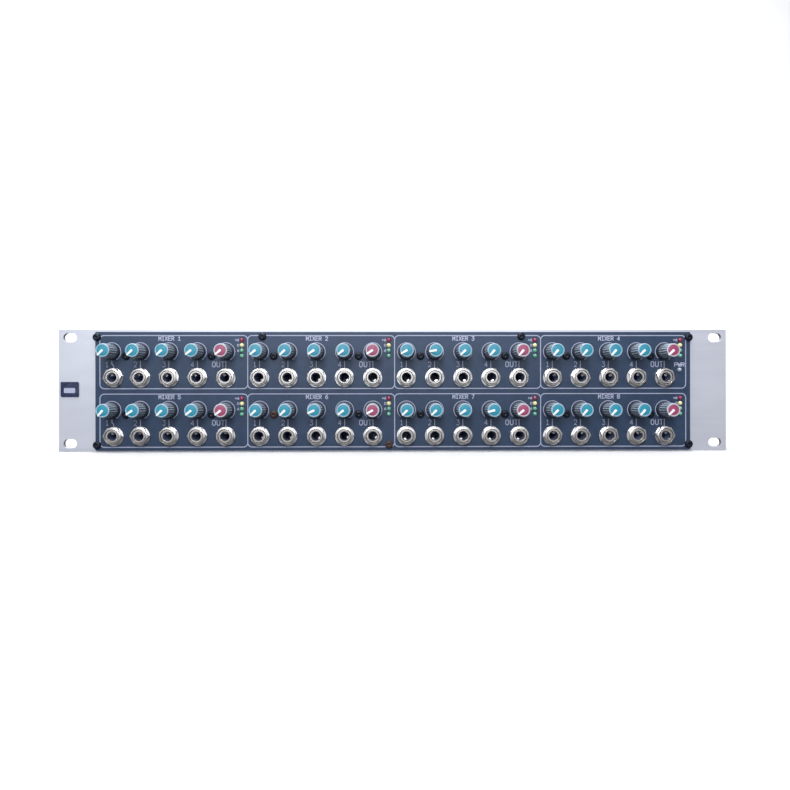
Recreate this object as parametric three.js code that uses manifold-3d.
// A two-unit 19-inch rack line mixer: eight four-into-one mixers on one front panel.
// Millimetres. +X to the right seen from the front, +Y to the rear, +Z up.
// Depths (y) are counted from the front face of the rack panel; the whole group is then
// moved so that the origin is the bottom centre of the object's box.

import * as THREE from 'three';
import { mergeVertices } from 'three/addons/utils/BufferGeometryUtils.js';
import Module from 'manifold-3d';

const wasm = await Module();
wasm.setup();

// ---- driving dimensions -------------------------------------------------------------

const GAP = 0.3;                    // air left between pieces that touch

const PANEL = { width: 482.6, height: 88.1, thick: 3.0 };
const RACK_SLOT = { spacingX: 466.0, spacingZ: 76.2, length: 9.4, height: 6.5 };
const PLATE = { width: 428.2, height: 85.0, thick: 1.6, bottom: 1.1 };
// The windows milled in the rack panel behind each row of controls and behind the lamps.
const WINDOW = { reach: 7.2, rise: 6.6, lampSide: 2.5 };

// The printed grid that the controls stand on, counted from its centre.
const GRID_Z = 43.45;               // height of the gap between the two rows
const MIXERS_PER_ROW = 4;
const MIXER_PITCH = 105.41;
const ROW_PITCH = 41.91;
const CONTROL_PITCH = 20.32;
const FIRST_CONTROL = 8.48;         // from a mixer's left edge to its first control
const CONTROLS = ['in1', 'in2', 'in3', 'in4', 'out'];
const POT_RISE = 7.45;              // above the middle of the mixer
const JACK_DROP = 11.05;            // below the middle of the mixer
const END_JACK_SHIFT = 1.3;         // the outermost jack is set in, clear of the chassis
const LAMP_INSET = 4.15;            // from a mixer's right edge
const LAMP_TOP = 15.9;              // above the middle of the mixer
const LAMP_PITCH = 3.81;
const LAMP_COUNT = 4;
const POWER_LAMP = { inset: 4.6, drop: 5.65 };

const KNOB = { baseR: 5.7, topR: 4.8, rise: 1.0, height: 14.5, pointer: 0.4 };
const POINTER = { width: 1.3, reach: 5.0, tail: 0.4, down: 2.4 };
const TRAVEL = 280;                 // full turn of a potentiometer, in degrees
const LOW_STOP = -TRAVEL / 2;       // pointer angle at the low stop, clockwise from the top
// Degrees above the low stop where each pointer stands, for controls 1 to 4 and the output.
const REST_ABOVE_STOP = [
  [5, 5, 5, 10, 10],
  [10, 5, 15, 10, 15],
  [20, 40, 5, 0, 0],
  [0, 0, 0, 5, 5],
  [0, 15, 5, 10, 10],
  [5, 5, 25, 10, 20],
  [5, 5, 15, 35, 10],
  [5, 0, 0, 0, 5],
];

const POT = { body: 12.0, depth: 10.0, bushR: 4.8, boreR: 3.8, proud: 0.5, seat: 7.0 };
const SHAFT = { r: 3.0, end: 6.0 };
const POT_FOOT = { width: 8.0, height: 2.4 };
const JACK = { width: 15.0, height: 14.0, bushR: 5.0, boreR: 3.55, boreEnd: 19.5 };
const NUT = { cornerR: 6.9, thick: 3.4 };
const LAMP = { r: 1.5, proud: 1.5 };
const PLATE_HOLE = { jackR: 5.4, potR: 5.4, lampR: 2.1 };
const HEX = 6;
const OCTAGON = 8;

const BOARD = { front: 23.0, thick: 1.6, margin: 1.3, height: 39.5 };
const SPACER = { r: 2.9, drop: 3.1, columns: [0.5, 3.5] };
const CHIP = { width: 9.8, height: 6.4, depth: 3.4, columns: [0.75, 2.25] };
const HEADER = { width: 14.0, height: 5.0, depth: 8.5, inset: 1.0 };

const SCREW = { r: 2.9, topR: 1.9, height: 1.7 };
const EDGE_SCREWS = [[-94.9, 39.1], [91.4, 39.3], [-4.1, -38.6]];   // x, and z from the plate's middle
const CORNER_SCREW = { x: 212.9, z: 38.6 };

const SHEET = 1.2;                  // chassis sheet thickness
const CHASSIS = { halfWidth: 219.0, depth: 143.5, wallTop: 85.5, flange: 9.0 };
const COVER = { bottom: 86.0, lip: 22.0 };
const VENT = { banks: [-150, 150], middle: 92, count: 9, pitch: 9.0, width: 3.0, length: 34.0 };
const REAR = { halfWidth: 217.4, bottom: 1.6, top: 85.6, front: 142.0 };

const BADGE = { x: -233.0, z: 44.95, width: 12.9, height: 10.8, thick: 0.5 };

const INLET = { x: 186.0, z: 44.0, width: 48.0, height: 24.0, plate: 2.2 };
const INLET_BODY = { width: 29.0, height: 20.6, depth: 22.0 };
const INLET_WELL = { width: 24.4, height: 16.4, depth: 16.0, corner: 4.6 };
const INLET_PIN = { width: 2.0, height: 4.0, length: 13.0, spacing: 14.0, earthRise: 2.0, poleDrop: 2.0 };

const SWITCH = { x: 148.0, z: 44.0, width: 15.0, height: 21.0, rim: 1.6 };
const SWITCH_BODY = { width: 12.8, height: 19.0, depth: 15.0 };
const SWITCH_POCKET = { width: 10.4, height: 16.6, depth: 7.0 };
const ROCKER = { width: 9.6, half: 7.4, end: 2.2, middle: 0.9, root: 4.4 };
const ROCKER_TILT = 10;             // degrees each side of level
const ROCKER_AXIS_DEPTH = 0.6;      // hinge line, inside the rim's outer face

// Parts on the supply board are placed from its middle, in x and y.
const SUPPLY = { x: 60.0, y: 92.0, width: 110.0, depth: 66.0, rise: 8.0 };
const SUPPLY_PILLAR = { r: 3.0, inset: 5.0 };
const SUPPLY_CAN = { columns: [-14, 8], y: 8, r: 8.0, height: 25.0 };
const SUPPLY_FIN = { halfWidth: 9.0, y: -19, halfDepth: 5.0, height: 28.0 };
const SUPPLY_FUSE = { x: 39, y: 15, halfWidth: 11.0, halfDepth: 5.0, height: 11.0 };
const SUPPLY_PLUG = { x: -42, y: -19, halfWidth: 8.0, halfDepth: 5.0, height: 9.0 };
const TRANSFORMER = { x: 170.0, y: 84.0, outerR: 36.0, innerR: 13.0, height: 30.0, round: 4.0, sides: 16 };
const HARNESS = { height: 11.0, thick: 1.3, front: 34.6, reach: 1.6 };   // reach in mixer widths

// ---- geometry helpers ---------------------------------------------------------------

const MERGE_WITHIN = 1e-4;
const CURVE_SEGMENTS = 4;

function solidOf(geometry) {
  const bare = geometry.clone();
  bare.deleteAttribute('normal');
  bare.deleteAttribute('uv');
  const merged = mergeVertices(bare, MERGE_WITHIN);
  const index = merged.index.array;
  const kept = [];
  for (let i = 0; i < index.length; i += 3) {
    const [a, b, c] = [index[i], index[i + 1], index[i + 2]];
    if (a !== b && b !== c && c !== a) kept.push(a, b, c);
  }
  const vertProperties = new Float32Array(merged.attributes.position.array);
  return new wasm.Manifold(new wasm.Mesh({ numProp: 3, vertProperties, triVerts: new Uint32Array(kept) }));
}

function geometryOf(solid) {
  const mesh = solid.getMesh();
  const geometry = new THREE.BufferGeometry();
  geometry.setAttribute('position', new THREE.BufferAttribute(new Float32Array(mesh.vertProperties), 3));
  geometry.setIndex(new THREE.BufferAttribute(new Uint32Array(mesh.triVerts), 1));
  geometry.computeVertexNormals();
  return geometry;
}

function block(x0, x1, y0, y1, z0, z1) {
  const geometry = new THREE.BoxGeometry(x1 - x0, y1 - y0, z1 - z0);
  geometry.translate((x0 + x1) / 2, (y0 + y1) / 2, (z0 + z1) / 2);
  return solidOf(geometry);
}

// A prism or frustum along Y, from y0 (radius r0) to y1 (radius r1), centred on x, z.
function round(sides, x, z, y0, r0, y1, r1 = r0, turn = 0) {
  const geometry = new THREE.CylinderGeometry(r1, r0, y1 - y0, sides);
  geometry.rotateY(turn);
  geometry.translate(x, (y0 + y1) / 2, z);
  return solidOf(geometry);
}

// A flat outline in x and z, given depth from y0 to y1.
function sheet(shape, y0, y1) {
  const options = { depth: y1 - y0, bevelEnabled: false, curveSegments: CURVE_SEGMENTS };
  const geometry = new THREE.ExtrudeGeometry(shape, options);
  geometry.rotateX(Math.PI / 2);
  geometry.translate(0, y1, 0);
  return solidOf(geometry);
}

function join(solids) {
  return solids.reduce((whole, solid) => whole.add(solid));
}

function pierce(solid, cutters) {
  return cutters.reduce((whole, cutter) => whole.subtract(cutter), solid);
}

function slotOutline(x, z, length, height) {
  const r = height / 2;
  const arm = length / 2 - r;
  const path = new THREE.Shape();
  path.absarc(x + arm, z, r, -Math.PI / 2, Math.PI / 2, false);
  path.absarc(x - arm, z, r, Math.PI / 2, 3 * Math.PI / 2, false);
  path.closePath();
  return path;
}

// ---- finishes -----------------------------------------------------------------------

function finish(color, roughness, metalness = 0) {
  return () => new THREE.MeshStandardMaterial({ color, roughness, metalness });
}

const FINISH = {
  anodised: finish(0xc6c8d2, 0.42, 0.8),
  slate: finish(0x3f4658, 0.45),
  badge: finish(0x1f2940, 0.4),
  teal: finish(0x5aa6bd, 0.5),
  crimson: finish(0xb4516f, 0.5),
  board: finish(0x1f5a3a, 0.55),
  blackSteel: finish(0x24262b, 0.5, 0.5),
  blackPlastic: finish(0x17181b, 0.45),
  winding: finish(0x8a6b2c, 0.5),
  ribbon: finish(0x8f9299, 0.6),
};

const device = new THREE.Group();

function place(name, solid, material, at = [0, 0, 0]) {
  const mesh = new THREE.Mesh(geometryOf(solid), material());
  mesh.name = name;
  mesh.position.set(...at);
  device.add(mesh);
  return mesh;
}

// ---- where the controls stand -------------------------------------------------------

const mixers = [];
for (let row = 0; row < 2; row += 1) {
  for (let column = 0; column < MIXERS_PER_ROW; column += 1) {
    const number = row * MIXERS_PER_ROW + column + 1;
    const left = (column - MIXERS_PER_ROW / 2) * MIXER_PITCH;
    const middle = GRID_Z + (row === 0 ? 0.5 : -0.5) * ROW_PITCH;
    const atEnd = column === 0;
    const controls = CONTROLS.map((label, i) => {
      const x = left + FIRST_CONTROL + i * CONTROL_PITCH;
      const jackX = x + (atEnd && i === 0 ? END_JACK_SHIFT : 0);
      return { label, x, jackX, potZ: middle + POT_RISE, jackZ: middle - JACK_DROP };
    });
    const lamps = [];
    for (let i = 0; i < LAMP_COUNT; i += 1) {
      lamps.push([left + MIXER_PITCH - LAMP_INSET, middle + LAMP_TOP - i * LAMP_PITCH]);
    }
    if (number === MIXERS_PER_ROW) {
      lamps.push([left + MIXER_PITCH - POWER_LAMP.inset, middle - POWER_LAMP.drop]);
    }
    const spacers = SPACER.columns.map((i) => {
      return [left + FIRST_CONTROL + i * CONTROL_PITCH, middle + POT_RISE - SPACER.drop];
    });
    mixers.push({ number, left, middle, controls, lamps, spacers });
  }
}

const plateFront = -GAP - PLATE.thick;
const plateMiddle = PLATE.bottom + PLATE.height / 2;
const panelMiddle = PANEL.height / 2;

// ---- rack panel: the aluminium front with its ears, milled clear behind the controls --

function rackPanel() {
  const half = PANEL.width / 2;
  const [front, back] = [-1, PANEL.thick + 1];
  const cutters = [];
  for (const sx of [-0.5, 0.5]) {
    for (const sz of [-0.5, 0.5]) {
      const x = sx * RACK_SLOT.spacingX;
      const z = panelMiddle + sz * RACK_SLOT.spacingZ;
      cutters.push(sheet(slotOutline(x, z, RACK_SLOT.length, RACK_SLOT.height), front, back));
    }
  }
  const { reach, rise, lampSide } = WINDOW;
  for (const { controls, lamps } of mixers) {
    const [x0, x1] = [controls[0].x - reach, controls[CONTROLS.length - 1].x + reach];
    for (const z of [controls[0].potZ, controls[0].jackZ]) {
      cutters.push(block(x0, x1, front, back, z - rise, z + rise));
    }
    const lampX = lamps[0][0];
    const [low, high] = [lamps[lamps.length - 1][1] - lampSide, lamps[0][1] + lampSide];
    cutters.push(block(lampX - lampSide, lampX + lampSide, front, back, low, high));
  }
  return pierce(block(-half, half, 0, PANEL.thick, 0, PANEL.height), cutters);
}

place('rack_panel', rackPanel(), FINISH.anodised);

// ---- faceplate: the dark printed plate over it, with its screws driven home -----------

function screwHead(x, z) {
  return round(HEX, x, z, plateFront - SCREW.height, SCREW.topR, plateFront + GAP, SCREW.r);
}

function faceplate() {
  const half = PLATE.width / 2;
  const hole = (x, z, r, sides) => round(sides, x, z, plateFront - 1, r, 0);
  const cutters = [];
  const screws = [];
  for (const mixer of mixers) {
    for (const control of mixer.controls) {
      cutters.push(hole(control.x, control.potZ, PLATE_HOLE.potR, HEX));
      cutters.push(hole(control.jackX, control.jackZ, PLATE_HOLE.jackR, HEX));
    }
    for (const lamp of mixer.lamps) cutters.push(hole(...lamp, PLATE_HOLE.lampR, HEX));
    for (const spacer of mixer.spacers) screws.push(screwHead(...spacer));
  }
  for (const [x, z] of EDGE_SCREWS) screws.push(screwHead(x, plateMiddle + z));
  for (const sx of [-1, 1]) {
    for (const sz of [-1, 1]) screws.push(screwHead(sx * CORNER_SCREW.x, plateMiddle + sz * CORNER_SCREW.z));
  }
  const blank = block(-half, half, plateFront, -GAP, PLATE.bottom, PLATE.bottom + PLATE.height);
  return join([pierce(blank, cutters), ...screws]);
}

place('faceplate', faceplate(), FINISH.slate);

const [badgeW, badgeH] = [BADGE.width / 2, BADGE.height / 2];
const badge = block(-badgeW, badgeW, -GAP - BADGE.thick, -GAP, -badgeH, badgeH);
place('ear_badge', badge, FINISH.badge, [BADGE.x, 0, BADGE.z]);

// ---- knobs: fluted body, coloured cap and the potentiometer shaft they are pressed on --

function knob() {
  const base = plateFront - KNOB.rise;
  const face = base - KNOB.height;
  const profile = [
    [0, face],
    [KNOB.topR, face],
    [KNOB.baseR, base],
    [SHAFT.r, base],
    [SHAFT.r, SHAFT.end],
    [0, SHAFT.end],
  ].map(([r, y]) => new THREE.Vector2(r, y));
  const turned = solidOf(new THREE.LatheGeometry(profile, OCTAGON));
  const side = POINTER.width / 2;
  const ridge = block(-side, side, face - KNOB.pointer, face + POINTER.down, -POINTER.tail, POINTER.reach);
  return turned.add(ridge);
}

const knobShape = knob();
for (const mixer of mixers) {
  mixer.controls.forEach((control, i) => {
    const rest = LOW_STOP + REST_ABOVE_STOP[mixer.number - 1][i];
    const colour = control.label === 'out' ? FINISH.crimson : FINISH.teal;
    const name = `knob_m${mixer.number}_${control.label}`;
    const mesh = place(name, knobShape, colour, [control.x, 0, control.potZ]);
    mesh.rotation.y = THREE.MathUtils.degToRad(rest);
  });
}

// ---- mixer boards: each a circuit board carrying five potentiometers, five jacks with
//      their nuts, its lamps, two spacers, two amplifier chips and a supply header --------

function potentiometer(x, z) {
  const half = POT.body / 2;
  const bodyFront = PANEL.thick + GAP;
  const bodyBack = bodyFront + POT.depth;
  const body = block(x - half, x + half, bodyFront, bodyBack, z - half, z + half);
  const bush = round(HEX, x, z, plateFront - POT.proud, POT.bushR, bodyFront + GAP);
  const footHalf = POT_FOOT.width / 2;
  const footTop = z - half + POT_FOOT.height;
  const foot = block(x - footHalf, x + footHalf, bodyBack - GAP, BOARD.front + GAP, z - half, footTop);
  return join([body, bush, foot]);
}

function jack(x, z) {
  const bodyFront = PANEL.thick + GAP;
  const [w, h] = [JACK.width / 2, JACK.height / 2];
  const body = block(x - w, x + w, bodyFront, BOARD.front + GAP, z - h, z + h);
  const nutBack = plateFront - GAP;
  const bush = round(HEX, x, z, nutBack - GAP, JACK.bushR, bodyFront + GAP);
  const nut = round(HEX, x, z, nutBack - NUT.thick, NUT.cornerR, nutBack);
  return join([body, bush, nut]);
}

function mixerBoard(mixer) {
  const left = mixer.left + BOARD.margin;
  const right = mixer.left + MIXER_PITCH - BOARD.margin;
  const back = BOARD.front + BOARD.thick;
  const bottom = mixer.middle - BOARD.height / 2;
  const pieces = [block(left, right, BOARD.front, back, bottom, bottom + BOARD.height)];
  const bores = [];
  for (const control of mixer.controls) {
    pieces.push(potentiometer(control.x, control.potZ));
    pieces.push(jack(control.jackX, control.jackZ));
    bores.push(round(HEX, control.x, control.potZ, plateFront - POT.proud - 1, POT.boreR, POT.seat));
    const { jackX, jackZ } = control;
    bores.push(round(OCTAGON, jackX, jackZ, plateFront - NUT.thick - 1, JACK.boreR, JACK.boreEnd));
  }
  for (const [x, z] of mixer.lamps) {
    pieces.push(round(HEX, x, z, plateFront - LAMP.proud, LAMP.r, BOARD.front + GAP));
  }
  for (const [x, z] of mixer.spacers) pieces.push(round(HEX, x, z, 0, SPACER.r, BOARD.front + GAP));
  const behind = (part, x, z) => {
    const [w, h] = [part.width / 2, part.height / 2];
    return block(x - w, x + w, back - GAP, back + part.depth, z - h, z + h);
  };
  for (const i of CHIP.columns) {
    pieces.push(behind(CHIP, mixer.controls[0].x + i * CONTROL_PITCH, mixer.middle + POT_RISE));
  }
  const side = Math.sign(GRID_Z - mixer.middle);
  const headerRise = side * (BOARD.height / 2 - HEADER.height / 2 - HEADER.inset);
  pieces.push(behind(HEADER, mixer.left + MIXER_PITCH / 2, mixer.middle + headerRise));
  return pierce(join(pieces), bores);
}

for (const mixer of mixers) place(`mixer_board_${mixer.number}`, mixerBoard(mixer), FINISH.board);

// ---- chassis: tray, cover and rear panel ----------------------------------------------

const trayFront = PANEL.thick + GAP;

function chassisTray() {
  const outer = CHASSIS.halfWidth;
  const inner = outer - SHEET;
  const rearFlange = REAR.front - GAP;
  const pieces = [block(-outer, outer, trayFront, CHASSIS.depth, 0, SHEET)];
  for (const side of [-1, 1]) {
    const across = (from, to) => [side * from, side * to].sort((a, b) => a - b);
    pieces.push(block(...across(inner, outer), trayFront, CHASSIS.depth, 0, CHASSIS.wallTop));
    const flange = across(inner - CHASSIS.flange, outer - SHEET / 2);
    pieces.push(block(...flange, trayFront, trayFront + SHEET, SHEET / 2, CHASSIS.wallTop));
    pieces.push(block(...flange, rearFlange - SHEET, rearFlange, SHEET / 2, CHASSIS.wallTop));
  }
  return join(pieces);
}

place('chassis_tray', chassisTray(), FINISH.blackSteel);

function topCover() {
  const outer = CHASSIS.halfWidth + GAP + SHEET;
  const top = COVER.bottom + SHEET;
  const [w, l] = [VENT.width / 2, VENT.length / 2];
  const vents = [];
  for (const centre of VENT.banks) {
    for (let i = 0; i < VENT.count; i += 1) {
      const x = centre + (i - (VENT.count - 1) / 2) * VENT.pitch;
      vents.push(block(x - w, x + w, VENT.middle - l, VENT.middle + l, COVER.bottom - 1, top + 1));
    }
  }
  const pieces = [pierce(block(-outer, outer, trayFront, CHASSIS.depth, COVER.bottom, top), vents)];
  for (const side of [-1, 1]) {
    const [x0, x1] = [side * outer, side * (outer - SHEET)].sort((a, b) => a - b);
    pieces.push(block(x0, x1, trayFront, CHASSIS.depth, top - COVER.lip, top - SHEET / 2));
  }
  return join(pieces);
}

place('top_cover', topCover(), FINISH.blackSteel);

function rearPanel() {
  const back = REAR.front + SHEET;
  const clear = 2 * GAP;
  const cutouts = [[INLET, INLET_BODY], [SWITCH, SWITCH_BODY]].map(([at, body]) => {
    const [w, h] = [body.width / 2 + clear, body.height / 2 + clear];
    return block(at.x - w, at.x + w, REAR.front - 1, back + 1, at.z - h, at.z + h);
  });
  return pierce(block(-REAR.halfWidth, REAR.halfWidth, REAR.front, back, REAR.bottom, REAR.top), cutouts);
}

place('rear_panel', rearPanel(), FINISH.blackSteel);

// ---- mains inlet and power switch, both on the rear panel -----------------------------

const rearFace = REAR.front + SHEET + GAP;

function inletWell() {
  const [w, h, c] = [INLET_WELL.width / 2, INLET_WELL.height / 2, INLET_WELL.corner];
  const path = new THREE.Shape();
  path.moveTo(-w, -h);
  path.lineTo(w, -h);
  path.lineTo(w, h - c);
  path.lineTo(w - c, h);
  path.lineTo(-w + c, h);
  path.lineTo(-w, h - c);
  path.closePath();
  const outside = rearFace + INLET.plate;
  return sheet(path, outside - INLET_WELL.depth, outside + 1);
}

function mainsInlet() {
  const outside = rearFace + INLET.plate;
  const [w, h] = [INLET.width / 2, INLET.height / 2];
  const [bw, bh] = [INLET_BODY.width / 2, INLET_BODY.height / 2];
  const plate = block(-w, w, rearFace, outside, -h, h);
  const body = block(-bw, bw, outside - INLET_BODY.depth, rearFace + GAP, -bh, bh);
  const floor = outside - INLET_WELL.depth;
  const [pw, ph] = [INLET_PIN.width / 2, INLET_PIN.height / 2];
  const pins = [
    [0, INLET_PIN.earthRise],
    [-INLET_PIN.spacing / 2, -INLET_PIN.poleDrop],
    [INLET_PIN.spacing / 2, -INLET_PIN.poleDrop],
  ].map(([x, z]) => block(x - pw, x + pw, floor - 1, floor + INLET_PIN.length, z - ph, z + ph));
  return join([plate.add(body).subtract(inletWell()), ...pins]);
}

place('mains_inlet', mainsInlet(), FINISH.blackPlastic, [INLET.x, 0, INLET.z]);

function powerSwitch() {
  const outside = rearFace + SWITCH.rim;
  const [w, h] = [SWITCH.width / 2, SWITCH.height / 2];
  const [bw, bh] = [SWITCH_BODY.width / 2, SWITCH_BODY.height / 2];
  const rim = block(-w, w, rearFace, outside, -h, h);
  const body = block(-bw, bw, outside - SWITCH_BODY.depth, rearFace + GAP, -bh, bh);
  const [pw, ph] = [SWITCH_POCKET.width / 2, SWITCH_POCKET.height / 2];
  return rim.add(body).subtract(block(-pw, pw, outside - SWITCH_POCKET.depth, outside + 1, -ph, ph));
}

place('power_switch', powerSwitch(), FINISH.blackPlastic, [SWITCH.x, 0, SWITCH.z]);

// The rocker's side outline in y (outwards) and z, about its hinge line.
function powerRocker() {
  const rise = ROCKER_AXIS_DEPTH;
  const outline = new THREE.Shape();
  outline.moveTo(-ROCKER.half, -rise);
  outline.lineTo(0, -ROCKER.root);
  outline.lineTo(ROCKER.half, -rise);
  outline.lineTo(ROCKER.half, ROCKER.end + rise);
  outline.lineTo(0, ROCKER.middle + rise);
  outline.lineTo(-ROCKER.half, ROCKER.end + rise);
  outline.closePath();
  const geometry = new THREE.ExtrudeGeometry(outline, { depth: ROCKER.width, bevelEnabled: false });
  geometry.translate(0, 0, -ROCKER.width / 2);
  // The outline's first axis becomes Z, its second Y and the extrusion X.
  geometry.applyMatrix4(new THREE.Matrix4().set(
    0, 0, 1, 0,
    0, 1, 0, 0,
    -1, 0, 0, 0,
    0, 0, 0, 1));
  return solidOf(geometry);
}

const rockerAxisY = rearFace + SWITCH.rim - ROCKER_AXIS_DEPTH;
const rocker = place('power_rocker', powerRocker(), FINISH.blackPlastic, [SWITCH.x, rockerAxisY, SWITCH.z]);
rocker.rotation.x = THREE.MathUtils.degToRad(ROCKER_TILT);

// ---- supply: transformer, supply board and the ribbon to the mixer boards ---------------

function transformer() {
  const floor = SHEET + GAP;
  const { outerR, innerR, height, round: bevel, sides } = TRANSFORMER;
  const profile = [
    [0, floor],
    [outerR - bevel, floor],
    [outerR, floor + bevel],
    [outerR, floor + height - bevel],
    [outerR - bevel, floor + height],
    [innerR + bevel, floor + height],
    [innerR, floor + height - bevel],
    [0, floor + height - bevel],
  ].map(([r, y]) => new THREE.Vector2(r, y));
  const geometry = new THREE.LatheGeometry(profile, sides);
  geometry.rotateX(Math.PI / 2);
  geometry.scale(1, -1, 1);
  geometry.index.array.reverse();
  return solidOf(geometry);
}

place('transformer', transformer(), FINISH.winding, [TRANSFORMER.x, TRANSFORMER.y, 0]);

function upright(sides, x, y, r, z0, z1) {
  const geometry = new THREE.CylinderGeometry(r, r, z1 - z0, sides);
  geometry.rotateX(Math.PI / 2);
  geometry.translate(x, y, (z0 + z1) / 2);
  return solidOf(geometry);
}

function onBoard(part, x, top) {
  const { y, halfWidth, halfDepth, height } = part;
  return block(x - halfWidth, x + halfWidth, y - halfDepth, y + halfDepth, top - GAP, top + height);
}

function supplyBoard() {
  const [w, d] = [SUPPLY.width / 2, SUPPLY.depth / 2];
  const bottom = SHEET + GAP + SUPPLY.rise;
  const top = bottom + BOARD.thick;
  const pieces = [block(-w, w, -d, d, bottom, top)];
  const { r, inset } = SUPPLY_PILLAR;
  for (const sx of [-1, 1]) {
    for (const sy of [-1, 1]) {
      pieces.push(upright(HEX, sx * (w - inset), sy * (d - inset), r, SHEET + GAP, bottom + GAP));
    }
  }
  for (const x of SUPPLY_CAN.columns) {
    pieces.push(upright(OCTAGON, x, SUPPLY_CAN.y, SUPPLY_CAN.r, top - GAP, top + SUPPLY_CAN.height));
    pieces.push(onBoard(SUPPLY_FIN, x, top));
  }
  pieces.push(onBoard(SUPPLY_FUSE, SUPPLY_FUSE.x, top));
  pieces.push(onBoard(SUPPLY_PLUG, SUPPLY_PLUG.x, top));
  return join(pieces);
}

place('supply_board', supplyBoard(), FINISH.board, [SUPPLY.x, SUPPLY.y, 0]);

// A ribbon along the boards, then back across the chassis and down to the supply's plug.
function supplyHarness() {
  const back = HARNESS.front + HARNESS.thick;
  const half = HARNESS.height / 2;
  const [z0, z1] = [GRID_Z - half, GRID_Z + half];
  const end = HARNESS.reach * MIXER_PITCH;
  const dropX = SUPPLY.x + SUPPLY_PLUG.x;
  const dropY = SUPPLY.y + SUPPLY_PLUG.y;
  const plugTop = SHEET + GAP + SUPPLY.rise + BOARD.thick + SUPPLY_PLUG.height + GAP;
  const run = block(-end, end, HARNESS.front, back, z0, z1);
  const across = block(dropX - half, dropX + half, back - GAP, dropY, z1 - HARNESS.thick, z1);
  const fold = z1 - HARNESS.thick / 2;
  const down = block(dropX - half, dropX + half, dropY - HARNESS.thick, dropY, plugTop, fold);
  return join([run, across, down]);
}

place('supply_harness', supplyHarness(), FINISH.ribbon);

// ---- the origin: bottom centre of the object's box -------------------------------------

const foremost = plateFront - KNOB.rise - KNOB.height - KNOB.pointer;
const tilt = THREE.MathUtils.degToRad(ROCKER_TILT);
const rockerTip = (ROCKER.end + ROCKER_AXIS_DEPTH) * Math.cos(tilt) + ROCKER.half * Math.sin(tilt);
const rearmost = rockerAxisY + rockerTip;
device.position.y = -(foremost + rearmost) / 2;
device.updateMatrixWorld(true);

export default device;
